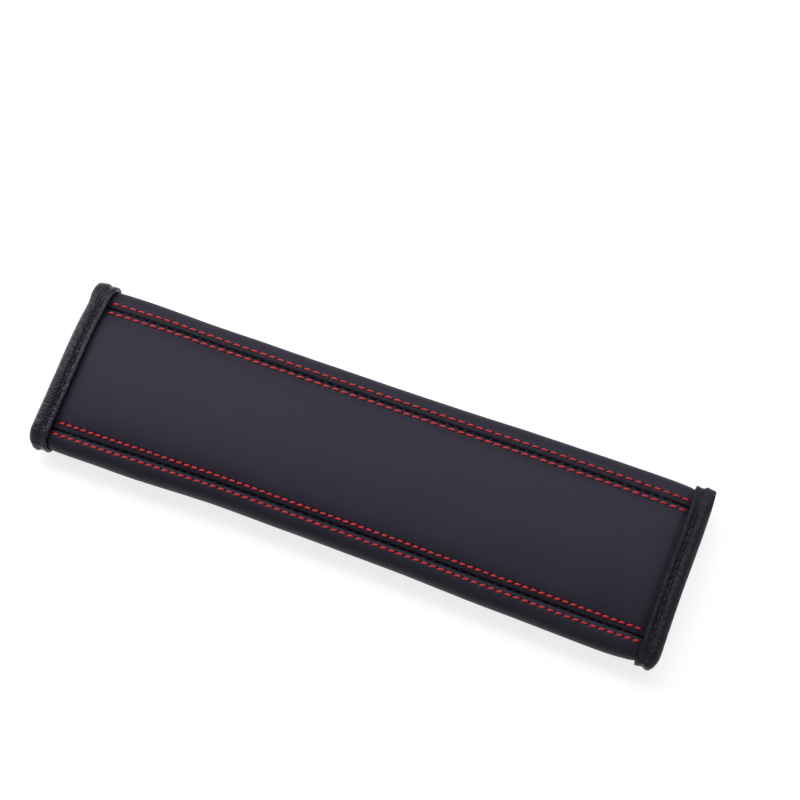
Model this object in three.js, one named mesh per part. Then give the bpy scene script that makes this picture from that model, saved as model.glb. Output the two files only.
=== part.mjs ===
import * as THREE from "three";

// A padded leather sleeve that closes round the shoulder belt of a car seat. It lies closed on its back.
// Millimetres. X runs along the belt, Y across it to the far long side and Z up. The origin is on the
// surface that the sleeve lies on, under its middle.

// Form of the leather cover, before the bindings go on
const LENGTH = 230; // over both end bindings
const COVER_WIDTH = 61.5;
const CROWN_HEIGHT = 17.4; // back of the cover to the top of its crown
const FOLD_RADIUS = 7.5; // outer radius of the fold along each long side

// Plies of the wall, from the outside in
const LEATHER = 0.8;
const FOAM = 3;
const FOAM_THIN_SHARE = 0.45; // share of the fold at which the foam begins to thin out
const FOAM_GONE_SHARE = 0.95; // share at which it would be gone
const FOAM_CUT_SHARE = 0.8; // share at which it is cut off
const LINING = 0.4;
const PLY_GAP = 0.3; // clearance between any two pieces that lie on each other

// Seams between the centre panel and the side panels
const SEAM_INSET = 6.15; // from the side of the cover
const SEAM_GAP = 0.3;
const SEAM_DIP = 1; // how far the thread pulls the leather in at the seam
const SEAM_DIP_REACH = 1.6;
const PANEL_FALL = 0.5; // the slower fall of the puffed leather towards the seam
const PANEL_FALL_REACH = 5;

// Red topstitching, one row on each side of each seam
const ROW_FROM_SEAM = 2.05;
const STITCH_PITCH = 3.2;
const STITCH_LENGTH = 2.6;
const STITCH_RISE = 0.5;
const STITCH_WIDTH = 0.9;
const STITCH_SLOPE = 0.4; // length over which a stitch rises from its needle hole
const THREAD_NECK = 0.12; // height of the thread where it goes down a needle hole
const ROW_END_GAP = 1.2; // from the end of a row to the binding

// Black sewing thread
const THREAD = 0.35;

// End bindings: a tape folded over the raw end, with a narrow ridge, a sewn groove and a wide ridge
const BINDING_WIDTH = 7.4;
const BINDING_RISE = 0.9; // thickness of the outer leaf at its ridges
const BINDING_GROOVE = 0.7; // depth of the groove that the thread lies in
const NARROW_RIDGE = 2.3;
const GROOVE_WIDTH = 1;
const BINDING_INNER_LEAF = 0.7;
const BINDING_END_WALL = 1;
const RIDGE_ROUNDING = 0.5;

// Back flaps and their hook and loop closure
const NEAR_FLAP_EDGE = 12.5; // Y of the edge of the near flap, which lies outside
const FAR_FLAP_EDGE = -13; // Y of the edge of the far flap, which lies inside
const STEP_LENGTH = 8.5; // over which the far flap climbs on to the near one
const STEP_CLEARANCE = 2; // from the edge of the near flap to the start of the step
const HEM = 0.8; // leather turned up at the edge of each flap
const HEM_CORNER = 0.02; // length in which the hem turns
const TAPE_WIDTH = 20;
const TAPE_THICKNESS = 0.8;
const TAPE_END_GAP = 2; // from each end of a tape to the binding
const TAPE_STITCH_MARGIN = 2; // from a tape's edge to its row of thread

// Fineness of the curved surfaces
const CROWN_STEPS = 6;
const FOLD_STEPS = 10;
const STEP_STEPS = 6;
const SEAM_STEPS = [0, 0.35, 0.7, 1.1, 1.6, 2.4]; // on each side of a seam, in reaches of its dip
const CLOSEST_RUNS = 0.12;

// Worked out from the sizes above
const BASE_LIFT = PLY_GAP + BINDING_RISE; // the bindings carry the cover this far off the surface
const SEAM_FROM_MIDDLE = COVER_WIDTH / 2 - SEAM_INSET; // measured along the skin
const FOLD_CENTRE = COVER_WIDTH / 2 - FOLD_RADIUS;
const CROWN_RISE = CROWN_HEIGHT - FOLD_RADIUS;
const CROWN_RADIUS =
  (FOLD_CENTRE ** 2 + CROWN_RISE ** 2 - FOLD_RADIUS ** 2) / (2 * (CROWN_RISE - FOLD_RADIUS));
const CROWN_ANGLE = Math.atan2(FOLD_CENTRE, CROWN_RADIUS - CROWN_RISE);
const CROWN_RUN = CROWN_RADIUS * CROWN_ANGLE;
const FOLD_RUN = FOLD_RADIUS * (Math.PI - CROWN_ANGLE);
const FLAP_START = CROWN_RUN + FOLD_RUN;
const FLAP_WALL = LEATHER + PLY_GAP + LINING;
const PADDED_WALL = LEATHER + PLY_GAP + FOAM + PLY_GAP + LINING;
const HOOK_BOTTOM = FLAP_WALL + PLY_GAP;
const LOOP_BOTTOM = HOOK_BOTTOM + TAPE_THICKNESS + PLY_GAP;
const TAPE_STACK = LOOP_BOTTOM + TAPE_THICKNESS + PLY_GAP;
const BINDING_STACK = FLAP_WALL + PLY_GAP + BINDING_INNER_LEAF + PLY_GAP + BASE_LIFT;
const FLAP_LIFT = Math.max(TAPE_STACK, BINDING_STACK);
const STEP_TOP = NEAR_FLAP_EDGE + STEP_CLEARANCE;
const STEP_FOOT = STEP_TOP + STEP_LENGTH;
const NEAR_EDGE_RUN = -(FLAP_START + FOLD_CENTRE + NEAR_FLAP_EDGE);
const FAR_EDGE_RUN = FLAP_START + FOLD_CENTRE - FAR_FLAP_EDGE;
const COVER_HALF = LENGTH / 2 - BINDING_END_WALL - PLY_GAP;
const BINDING_EDGE = LENGTH / 2 - BINDING_WIDTH;
const GROOVE_MIDDLE = BINDING_EDGE + NARROW_RIDGE + GROOVE_WIDTH / 2;

// Materials

function finish(color, roughness) {
  return new THREE.MeshStandardMaterial({ color, roughness, metalness: 0 });
}

const LEATHER_FINISH = finish(0x39373f, 0.55);
const FOAM_FINISH = finish(0x4a4a4c, 0.95);
const LINING_FINISH = finish(0x17171a, 0.9);
const TAPE_FINISH = finish(0x121214, 0.85);
const BINDING_FINISH = finish(0x1c1b20, 0.5);
const RED_THREAD = finish(0xa53a47, 0.6);
const BLACK_THREAD = finish(0x101013, 0.6);

// The section of the cover

// A place on the skin and the way out of it, for a run along the skin from the middle of the crown. Runs
// are positive on the far side. Past the fold the run goes back under the sleeve, along its flap.
function skinAt(run) {
  const side = run < 0 ? -1 : 1;
  const travel = Math.abs(run);
  if (travel <= CROWN_RUN) {
    const angle = travel / CROWN_RADIUS;
    const y = CROWN_RADIUS * Math.sin(angle);
    const z = CROWN_HEIGHT - CROWN_RADIUS * (1 - Math.cos(angle));
    return { y: side * y, z, outY: side * Math.sin(angle), outZ: Math.cos(angle) };
  }
  if (travel <= FLAP_START) {
    const angle = CROWN_ANGLE + (travel - CROWN_RUN) / FOLD_RADIUS;
    const y = FOLD_CENTRE + FOLD_RADIUS * Math.sin(angle);
    const z = FOLD_RADIUS * (1 + Math.cos(angle));
    return { y: side * y, z, outY: side * Math.sin(angle), outZ: Math.cos(angle) };
  }
  const y = FOLD_CENTRE - (travel - FLAP_START);
  if (side < 0 || y >= STEP_FOOT) {
    return { y: side * y, z: 0, outY: 0, outZ: -1 };
  }
  if (y <= STEP_TOP) {
    return { y, z: FLAP_LIFT, outY: 0, outZ: -1 };
  }
  const turn = (Math.PI * (STEP_FOOT - y)) / STEP_LENGTH;
  const slope = (-FLAP_LIFT * Math.PI * Math.sin(turn)) / (2 * STEP_LENGTH);
  const size = Math.hypot(1, slope);
  return { y, z: (FLAP_LIFT * (1 - Math.cos(turn))) / 2, outY: slope / size, outZ: -1 / size };
}

// Thickness of all plies together. The foam thins out round the lower half of each fold.
function wallAt(run) {
  const share = (Math.abs(run) - CROWN_RUN) / FOLD_RUN;
  const fade = THREE.MathUtils.smoothstep(share, FOAM_THIN_SHARE, FOAM_GONE_SHARE);
  return PADDED_WALL + (FLAP_WALL - PADDED_WALL) * fade;
}

// How far the stitched seams pull the leather in.
function dipAt(run) {
  const away = Math.abs(Math.abs(run) - SEAM_FROM_MIDDLE);
  const groove = SEAM_DIP * Math.exp(-((away / SEAM_DIP_REACH) ** 2));
  return groove + PANEL_FALL * Math.exp(-((away / PANEL_FALL_REACH) ** 2));
}

function placeAt(run, x, depth) {
  const skin = skinAt(run);
  return new THREE.Vector3(x, skin.y - skin.outY * depth, BASE_LIFT + skin.z - skin.outZ * depth);
}

// Runs at which the curved surfaces are drawn, between two ends. A fine list also follows the seams.
function runsBetween(start, end, fine) {
  const oneSide = [];
  for (let i = 0; i < CROWN_STEPS; i += 1) oneSide.push(((i + 0.5) * CROWN_RUN) / CROWN_STEPS);
  for (let i = 0; i <= FOLD_STEPS; i += 1) oneSide.push(CROWN_RUN + (i * FOLD_RUN) / FOLD_STEPS);
  if (fine) {
    for (const share of SEAM_STEPS) {
      const away = share * SEAM_DIP_REACH;
      oneSide.push(SEAM_FROM_MIDDLE - away, SEAM_FROM_MIDDLE + away);
    }
  }
  const runs = [...oneSide.map((run) => -run), ...oneSide];
  for (let i = 0; i <= STEP_STEPS; i += 1) {
    runs.push(FLAP_START + FOLD_CENTRE - STEP_FOOT + (i * STEP_LENGTH) / STEP_STEPS);
  }
  const inside = runs.filter((run) => run > start + CLOSEST_RUNS && run < end - CLOSEST_RUNS);
  inside.sort((a, b) => a - b);
  const spaced = inside.filter((run, i) => i === 0 || run - inside[i - 1] > CLOSEST_RUNS);
  return [start, ...spaced, end];
}

// Bends an outline round the section. Its first number is X and its second a level through the wall,
// which depthAt turns into a depth under the skin at each run.
function wrapped(outline, runs, depthAt) {
  const shape = new THREE.Shape(outline.map(([x, level]) => new THREE.Vector2(x, level)));
  const steps = runs.length - 1;
  const geometry = new THREE.ExtrudeGeometry(shape, { depth: steps, steps, bevelEnabled: false });
  const position = geometry.getAttribute("position");
  for (let i = 0; i < position.count; i += 1) {
    const run = runs[Math.round(position.getZ(i))];
    const place = placeAt(run, position.getX(i), depthAt(position.getY(i), run));
    position.setXYZ(i, place.x, place.y, place.z);
  }
  geometry.computeVertexNormals();
  return geometry;
}

const sleeve = new THREE.Group();
sleeve.name = "seat_belt_shoulder_pad";

function addPiece(name, geometry, material) {
  const piece = new THREE.Mesh(geometry, material);
  piece.name = name;
  sleeve.add(piece);
  return piece;
}

// Leather panels

const PLY_OUTLINE = [[-COVER_HALF, 0], [-COVER_HALF, 1], [COVER_HALF, 1], [COVER_HALF, 0]];

function leatherDepth(level, run) {
  return dipAt(run) + level * LEATHER;
}

function addCentrePanel() {
  const edge = SEAM_FROM_MIDDLE - SEAM_GAP / 2;
  const runs = runsBetween(-edge, edge, true);
  addPiece("centre_panel", wrapped(PLY_OUTLINE, runs, leatherDepth), LEATHER_FINISH);
}

// A side panel runs from its seam round the fold to the edge of its flap, where it turns up as a hem.
function addSidePanel(name, edgeRun) {
  const side = Math.sign(edgeRun);
  const seam = side * (SEAM_FROM_MIDDLE + SEAM_GAP / 2);
  const hemStart = edgeRun - side * HEM;
  const flatEnd = hemStart - side * HEM_CORNER;
  const body = runsBetween(Math.min(seam, flatEnd), Math.max(seam, flatEnd), true);
  const runs = side < 0 ? [edgeRun, hemStart, ...body] : [...body, hemStart, edgeRun];
  const depthAt = (level, run) => {
    const inHem = Math.abs(run) >= Math.abs(hemStart);
    return inHem ? level * FLAP_WALL : leatherDepth(level, run);
  };
  addPiece(name, wrapped(PLY_OUTLINE, runs, depthAt), LEATHER_FINISH);
}

// Foam and lining

function addFoam() {
  const edge = CROWN_RUN + FOLD_RUN * FOAM_CUT_SHARE;
  const depthAt = (level, run) => {
    const outer = dipAt(run) + LEATHER + PLY_GAP;
    const inner = wallAt(run) - LINING - PLY_GAP;
    return outer + level * (inner - outer);
  };
  addPiece("foam_padding", wrapped(PLY_OUTLINE, runsBetween(-edge, edge, true), depthAt), FOAM_FINISH);
}

function addLining() {
  const runs = runsBetween(NEAR_EDGE_RUN + HEM + PLY_GAP, FAR_EDGE_RUN - HEM - PLY_GAP, false);
  const depthAt = (level, run) => wallAt(run) - (1 - level) * LINING;
  addPiece("lining", wrapped(PLY_OUTLINE, runs, depthAt), LINING_FINISH);
}

// Hook and loop closure

const TAPE_LENGTH = 2 * (BINDING_EDGE - TAPE_END_GAP);
const TAPE_MIDDLE = (NEAR_FLAP_EDGE + FAR_FLAP_EDGE) / 2;

function addTape(name, bottom) {
  const tape = addPiece(name, new THREE.BoxGeometry(TAPE_LENGTH, TAPE_WIDTH, TAPE_THICKNESS), TAPE_FINISH);
  tape.position.set(0, TAPE_MIDDLE, BASE_LIFT + bottom + TAPE_THICKNESS / 2);
}

function addTapeThread(name, side, middle) {
  const thread = addPiece(name, new THREE.BoxGeometry(TAPE_LENGTH, THREAD, THREAD), BLACK_THREAD);
  const y = TAPE_MIDDLE + side * (TAPE_WIDTH / 2 - TAPE_STITCH_MARGIN);
  thread.position.set(0, y, BASE_LIFT + middle);
}

// End bindings

// Outline of the folded tape at the right end. Levels under 0 are outside the skin and over 0 inside the
// lining, both from the surface that the tape lies on.
function bindingOutline() {
  const top = -BINDING_RISE;
  const groove = -BINDING_RISE + BINDING_GROOVE;
  const narrowEnd = BINDING_EDGE + NARROW_RIDGE;
  const wideStart = narrowEnd + GROOVE_WIDTH;
  const end = LENGTH / 2;
  return [
    [BINDING_EDGE, -PLY_GAP],
    [BINDING_EDGE, top - PLY_GAP + RIDGE_ROUNDING],
    [BINDING_EDGE + RIDGE_ROUNDING, top - PLY_GAP],
    [narrowEnd - RIDGE_ROUNDING, top - PLY_GAP],
    [narrowEnd, groove - PLY_GAP],
    [wideStart, groove - PLY_GAP],
    [wideStart + RIDGE_ROUNDING, top - PLY_GAP],
    [end - 2 * RIDGE_ROUNDING, top - PLY_GAP],
    [end, -PLY_GAP],
    [end, PLY_GAP],
    [end - RIDGE_ROUNDING, PLY_GAP + BINDING_INNER_LEAF],
    [BINDING_EDGE, PLY_GAP + BINDING_INNER_LEAF],
    [BINDING_EDGE, PLY_GAP],
    [end - BINDING_END_WALL, PLY_GAP],
    [end - BINDING_END_WALL, -PLY_GAP],
  ];
}

function bindingDepth(level, run) {
  return level < 0 ? level : wallAt(run) + level;
}

function threadOutline() {
  const bottom = -(BINDING_RISE - BINDING_GROOVE) - 2 * PLY_GAP;
  const start = GROOVE_MIDDLE - THREAD / 2;
  const end = GROOVE_MIDDLE + THREAD / 2;
  return [[start, bottom], [start, bottom - THREAD], [end, bottom - THREAD], [end, bottom]];
}

function addEndBinding(side, sideName) {
  const runs = runsBetween(NEAR_EDGE_RUN, FAR_EDGE_RUN, false);
  const atThisEnd = (outline) => {
    const placed = outline.map(([x, level]) => [side * x, level]);
    return wrapped(placed, runs, bindingDepth);
  };
  addPiece(`${sideName}_end_binding`, atThisEnd(bindingOutline()), BINDING_FINISH);
  addPiece(`${sideName}_binding_stitch`, atThisEnd(threadOutline()), BLACK_THREAD);
}

// Threads along the sleeve

// Side view of a row of topstitching: a low neck at each needle hole and a raised bead between them.
function stitchRow(length) {
  const count = Math.floor(length / STITCH_PITCH);
  const start = (-count * STITCH_PITCH) / 2;
  const hole = STITCH_PITCH - STITCH_LENGTH;
  const points = [new THREE.Vector2(start, 0), new THREE.Vector2(start, THREAD_NECK)];
  for (let i = 0; i < count; i += 1) {
    const from = start + i * STITCH_PITCH + hole / 2;
    const to = from + STITCH_LENGTH;
    points.push(
      new THREE.Vector2(from, THREAD_NECK),
      new THREE.Vector2(from + STITCH_SLOPE, STITCH_RISE),
      new THREE.Vector2(to - STITCH_SLOPE, STITCH_RISE),
      new THREE.Vector2(to, THREAD_NECK),
    );
  }
  points.push(new THREE.Vector2(-start, THREAD_NECK), new THREE.Vector2(-start, 0));
  const shape = new THREE.Shape(points);
  return new THREE.ExtrudeGeometry(shape, { depth: STITCH_WIDTH, bevelEnabled: false });
}

// Lays a row on the skin, with its side view's height along the way out of the skin.
function layOnSkin(piece, run, width) {
  const skin = skinAt(run);
  const along = new THREE.Vector3(1, 0, 0);
  const out = new THREE.Vector3(0, skin.outY, skin.outZ);
  const across = new THREE.Vector3().crossVectors(along, out);
  const place = placeAt(run, 0, dipAt(run) - PLY_GAP).addScaledVector(across, -width / 2);
  piece.applyMatrix4(new THREE.Matrix4().makeBasis(along, out, across).setPosition(place));
}

function addTopstitch(name, run) {
  const piece = addPiece(name, stitchRow(2 * (BINDING_EDGE - ROW_END_GAP)), RED_THREAD);
  layOnSkin(piece, run, STITCH_WIDTH);
}

function addSeamThread(name, run) {
  const geometry = new THREE.BoxGeometry(2 * (BINDING_EDGE - ROW_END_GAP), THREAD, THREAD);
  geometry.translate(0, THREAD / 2, THREAD / 2);
  layOnSkin(addPiece(name, geometry, BLACK_THREAD), run, THREAD);
}

// The sleeve, put together

addCentrePanel();
addSidePanel("far_side_panel", FAR_EDGE_RUN);
addSidePanel("near_side_panel", NEAR_EDGE_RUN);
addFoam();
addLining();
addTape("hook_tape", HOOK_BOTTOM);
addTape("loop_tape", FLAP_LIFT - PLY_GAP - TAPE_THICKNESS);
addEndBinding(-1, "left");
addEndBinding(1, "right");
addTopstitch("far_outer_topstitch", SEAM_FROM_MIDDLE + ROW_FROM_SEAM);
addTopstitch("far_inner_topstitch", SEAM_FROM_MIDDLE - ROW_FROM_SEAM);
addTopstitch("near_inner_topstitch", -(SEAM_FROM_MIDDLE - ROW_FROM_SEAM));
addTopstitch("near_outer_topstitch", -(SEAM_FROM_MIDDLE + ROW_FROM_SEAM));
addSeamThread("far_seam_thread", SEAM_FROM_MIDDLE);
addSeamThread("near_seam_thread", -SEAM_FROM_MIDDLE);
addTapeThread("hook_stitch_near", -1, -PLY_GAP - THREAD / 2);
addTapeThread("hook_stitch_far", 1, -PLY_GAP - THREAD / 2);
addTapeThread("loop_stitch_near", -1, FLAP_LIFT + FLAP_WALL + PLY_GAP + THREAD / 2);
addTapeThread("loop_stitch_far", 1, FLAP_LIFT + FLAP_WALL + PLY_GAP + THREAD / 2);

export default sleeve;
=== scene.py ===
"""A padded leather sleeve for a car's shoulder belt, lying closed on its back on a pale floor."""

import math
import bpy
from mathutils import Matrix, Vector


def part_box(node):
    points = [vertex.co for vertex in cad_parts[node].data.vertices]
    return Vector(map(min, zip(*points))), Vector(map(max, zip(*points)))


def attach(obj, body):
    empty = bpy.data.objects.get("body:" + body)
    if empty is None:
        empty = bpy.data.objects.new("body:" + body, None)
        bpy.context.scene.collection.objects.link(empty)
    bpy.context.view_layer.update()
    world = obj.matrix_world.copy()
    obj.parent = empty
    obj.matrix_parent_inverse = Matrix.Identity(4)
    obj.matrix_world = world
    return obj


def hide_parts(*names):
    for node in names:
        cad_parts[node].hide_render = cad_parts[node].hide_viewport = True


bl_info = {
    "name": "Shoulder Belt Pad",
    "version": (1, 0, 0),
    "blender": (4, 5, 0),
    "location": "3D View > Sidebar > Belt Pad",
    "description": "Dresses a shoulder belt pad in puffed leather, topstitching and bound ends",
    "category": "Object",
}

from functools import partial

import bmesh
import bpy
from bpy.props import FloatProperty, FloatVectorProperty, PointerProperty
from mathutils import Matrix, Vector, noise

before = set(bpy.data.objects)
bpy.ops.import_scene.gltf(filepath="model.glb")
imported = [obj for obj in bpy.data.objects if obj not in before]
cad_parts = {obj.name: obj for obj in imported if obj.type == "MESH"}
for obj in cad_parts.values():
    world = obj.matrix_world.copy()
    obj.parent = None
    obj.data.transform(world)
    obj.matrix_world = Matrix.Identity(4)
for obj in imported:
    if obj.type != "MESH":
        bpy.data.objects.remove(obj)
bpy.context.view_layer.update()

# All sizes below are in millimetres. X runs along the belt, Y to the far long side, Z up.
MM = 0.001
FAR, NEAR = 1, -1


def corner(node, end, axis):
    """One number of a CAD node's box: end 0 is its lowest corner and 1 its highest."""
    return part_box(node)[end][axis] / MM


# Places that come from the frame
BINDING_EDGE = corner("right_end_binding", 0, 0)
COVER_END = corner("centre_panel", 1, 0)
BASE = corner("near_side_panel", 0, 2)
NEAR_FLAP_EDGE = corner("near_side_panel", 1, 1)
FAR_FLAP_EDGE = corner("far_side_panel", 0, 1)
TAPE_END = corner("hook_tape", 1, 0)

# Section of the cover, as the CAD part has it
COVER_SIDE = 30.75
CROWN = 17.4
FOLD_RADIUS = 7.5
LEATHER = 0.8
FOAM = 3.0
LINING = 0.4
PLY_GAP = 0.3
FLAP_LIFT = 4.0
STEP_TOP = 14.5
STEP_LENGTH = 8.5
HEM = 0.8

FLAP_WALL = LEATHER + PLY_GAP + LINING
PADDED_WALL = FLAP_WALL + FOAM + PLY_GAP
FOLD_CENTRE = COVER_SIDE - FOLD_RADIUS
CROWN_RISE = CROWN - FOLD_RADIUS
CROWN_RADIUS = (FOLD_CENTRE**2 + CROWN_RISE**2 - FOLD_RADIUS**2) / (2 * (CROWN_RISE - FOLD_RADIUS))
CROWN_ANGLE = math.atan2(FOLD_CENTRE, CROWN_RADIUS - CROWN_RISE)
CROWN_RUN = CROWN_RADIUS * CROWN_ANGLE
FOLD_RUN = FOLD_RADIUS * (math.pi - CROWN_ANGLE)
FLAP_START = CROWN_RUN + FOLD_RUN
STEP_FOOT = STEP_TOP + STEP_LENGTH
NEAR_EDGE_RUN = -(FLAP_START + FOLD_CENTRE + NEAR_FLAP_EDGE)
FAR_EDGE_RUN = FLAP_START + FOLD_CENTRE - FAR_FLAP_EDGE

# Seams and rows of thread
SEAM_RUN = 24.6
ROW_FROM_SEAM = 2.2
ROW_END = BINDING_EDGE - 0.2
PITCH = 3.2
# The length of a stitch in each row of topstitching, as the photograph shows it
ROW_PITCH = {(FAR, "outer"): 3.35, (FAR, "inner"): 3.3, (NEAR, "inner"): 2.8, (NEAR, "outer"): 2.98}
SEAM_GAP = 0.12

# What is pressed into the skin, each as a depth and a reach
SEAM_GROOVE = (0.75, 1.35)
SEAM_SLIT = (0.6, 0.5)
SEAM_VALLEY = (1.1, 3.9)
BINDING_DIP = (0.55, 1.3)
BINDING_FALL = (0.55, 5.0)
THREAD_PRESS = 0.16
THREAD_REACH = 0.5
PUCKER_DEPTH = 0.07
HOLE_DEPTH = 0.45
END_FALL_LENGTH = 30.0
DEEPEST = 3.3

# Reach of a needle hole, as a share of a stitch: in the surface, and where its painted shade shows
HOLE_REACH = 0.17
HOLE_SHADE = 0.15

# Soft unevenness of the leather: wave length along the sleeve and round it, a seed and a height
SOFT_WAVES = ((26, 15, 4.2, 0.16), (9, 7, 8.5, 0.04))

# How the real sleeve strays from the plain box, read from the photograph: (x, outward) of each long side,
# of the near rows of thread and of the far fold
FAR_BOW = ((-115, 1.1), (-60, 0.2), (0, 0.2), (60, 1.0), (115, 1.8))
NEAR_BOW = ((-115, 0.7), (-85, 0.3), (-40, -1.0), (15, -0.6), (60, 0.6), (95, 1.2), (115, 0.2))
NEAR_ROWS = ((-115, 1.3), (-95, 1.0), (-70, 0.4), (-30, 0.1), (60, -0.1), (100, -0.2), (115, 0.2))
FAR_BULGE = ((-115, 1.0), (-75, 1.6), (75, 1.7), (115, 1.0))
LEFT_STRETCH = 0.016
RIGHT_STRETCH = 0.010

# Where across the sleeve those strays act
BOW_FROM = 10
BOW_WIDTH = 21
BULGE_FROM, BULGE_TO = 27, 30.5
NEAR_ROWS_Y = -24.5
NEAR_ROWS_REACH = 4.0
STRETCH_FROM, STRETCH_TO = -15, 28


# Section of the sleeve

def smooth(low, high, value):
    """0 below low, 1 above high, and a smooth rise between them."""
    share = min(max((value - low) / (high - low), 0.0), 1.0)
    return share * share * (3 - 2 * share)


def hump(distance, reach):
    """A round bump of height 1, a third as high at one reach from its middle."""
    return math.exp(-((distance / reach) ** 2))


def pressed(shape, distance):
    """Depth of a pressed shape at a distance from its middle."""
    depth, reach = shape
    return depth * hump(distance, reach)


def skin_at(run):
    """(y, z, out_y, out_z): a place on the skin and the way out of it, run along it from the crown."""
    side = -1 if run < 0 else 1
    travel = abs(run)
    if travel <= CROWN_RUN:
        angle = travel / CROWN_RADIUS
        y, z = CROWN_RADIUS * math.sin(angle), CROWN - CROWN_RADIUS * (1 - math.cos(angle))
        return side * y, z, side * math.sin(angle), math.cos(angle)
    if travel <= FLAP_START:
        angle = CROWN_ANGLE + (travel - CROWN_RUN) / FOLD_RADIUS
        y, z = FOLD_CENTRE + FOLD_RADIUS * math.sin(angle), FOLD_RADIUS * (1 + math.cos(angle))
        return side * y, z, side * math.sin(angle), math.cos(angle)
    y = FOLD_CENTRE - (travel - FLAP_START)
    if side < 0 or y >= STEP_FOOT:
        return side * y, 0.0, 0.0, -1.0
    if y <= STEP_TOP:
        return y, FLAP_LIFT, 0.0, -1.0
    turn = math.pi * (STEP_FOOT - y) / STEP_LENGTH
    slope = -FLAP_LIFT * math.pi * math.sin(turn) / (2 * STEP_LENGTH)
    size = math.hypot(1, slope)
    return y, FLAP_LIFT * (1 - math.cos(turn)) / 2, slope / size, -1 / size


def wall_at(run):
    """Thickness of all plies together. The foam thins out round the lower half of each fold."""
    share = (abs(run) - CROWN_RUN) / FOLD_RUN
    return PADDED_WALL + (FLAP_WALL - PADDED_WALL) * smooth(0.45, 0.95, share)


def end_share(x):
    """How far a place is towards its bound end, where the tape presses the padding flat."""
    return smooth(END_FALL_LENGTH, 0.0, BINDING_EDGE - abs(x))


def press_at(run, x):
    """How far the bound ends press the skin in. The foam gives, so only the padded part sinks."""
    leather = bpy.context.scene.pad_leather
    fall = leather.left_end_fall if x < 0 else leather.right_end_fall
    padded = 1 - smooth(CROWN_RUN - 2, CROWN_RUN + 0.4 * FOLD_RUN, abs(run))
    return fall / MM * end_share(x) * padded


def between(knots, value):
    """A smooth curve through (value, amount) knots."""
    for (low, first), (high, second) in zip(knots, knots[1:]):
        if value <= high:
            return first + (second - first) * smooth(low, high, value)
    return knots[-1][1]


def out_of_true(x, y):
    """How far the soft sleeve strays from its plain box: its long sides bow and its far side is longer."""
    side, knots = (FAR, FAR_BOW) if y > 0 else (NEAR, NEAR_BOW)
    bow = between(knots, x) * (max(0.0, abs(y) - BOW_FROM) / BOW_WIDTH) ** 2
    if side == FAR:
        bow += between(FAR_BULGE, x) * smooth(BULGE_FROM, BULGE_TO, y)
    else:
        bow += between(NEAR_ROWS, x) * hump(y - NEAR_ROWS_Y, NEAR_ROWS_REACH)
    stretch = LEFT_STRETCH if x < 0 else RIGHT_STRETCH
    return x * (1 + stretch * smooth(STRETCH_FROM, STRETCH_TO, y)), y + side * bow


def place(run, x, depth):
    """The point at a depth under the skin, in metres."""
    y, z, out_y, out_z = skin_at(run)
    x, y = out_of_true(x, y - out_y * depth)
    return Vector((x, y, BASE + z - out_z * depth)) * MM


def skin_fall(run, x):
    """The fall of the leather towards a binding's edge, less where it is taut round the long sides."""
    from_binding = max(0.0, BINDING_EDGE - abs(x))
    taut = smooth(CROWN_RUN - 1, CROWN_RUN + 6, abs(run))
    fall = pressed(BINDING_DIP, from_binding) + pressed(BINDING_FALL, from_binding)
    return fall * (1 - 0.65 * taut)


def row_pitch(run):
    """Length of a stitch in the row of topstitching that is nearest to a run."""
    return ROW_PITCH[FAR if run > 0 else NEAR, "outer" if abs(run) > SEAM_RUN else "inner"]


def from_hole(run, x):
    """Distance to the nearest needle hole of the topstitching, as a share of a stitch."""
    pitch = row_pitch(run)
    phase = (x / pitch + math.floor(2 * ROW_END / pitch) / 2) % 1.0
    return min(phase, 1 - phase)


def skin_depth(run, x):
    """Depth of the leather's surface under the plain skin: seams, rows, bound ends and soft unevenness."""
    from_seam = abs(abs(run) - SEAM_RUN)
    from_row = abs(from_seam - ROW_FROM_SEAM)
    in_row = hump(from_row, THREAD_REACH) * smooth(ROW_END + 1.5, ROW_END, abs(x))
    hole = from_hole(run, x)
    depth = sum(pressed(shape, from_seam) for shape in (SEAM_GROOVE, SEAM_SLIT, SEAM_VALLEY))
    depth += in_row * (THREAD_PRESS + HOLE_DEPTH * hump(hole, HOLE_REACH))
    depth += PUCKER_DEPTH * hump(from_row, 1.5) * math.cos(2 * math.pi * hole)
    depth += press_at(run, x) + skin_fall(run, x)
    soft = 0.0
    for length, width, seed, height in SOFT_WAVES:
        soft += noise.noise(Vector((x / length, run / width, seed))) * height
    on_top = 1 - smooth(FLAP_START - 4, FLAP_START, abs(run))
    depth += soft * (0.3 + 0.7 * on_top)
    return DEEPEST * math.tanh(depth / DEEPEST)


def painted_shade_at(run, x):
    """Painted shade: 0 on open leather and up to 1 in the seams, in the needle holes, along the rows of thread
    and beside the bound ends, where shade falls.
    """
    from_seam = abs(abs(run) - SEAM_RUN)
    from_row = abs(from_seam - ROW_FROM_SEAM)
    in_row = smooth(ROW_END + 1.5, ROW_END, abs(x))
    hole = 1.2 * hump(from_row, 0.45) * hump(from_hole(run, x), HOLE_SHADE) * in_row
    shade = 0.45 * hump(from_row, 0.6) * in_row
    edge = 0.4 * hump(max(0.0, BINDING_EDGE - abs(x)), 3.5)
    return min(1.0, hump(from_seam, 0.5) + hole + shade + edge)


# Bodies made from a grid that is bent into place

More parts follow.
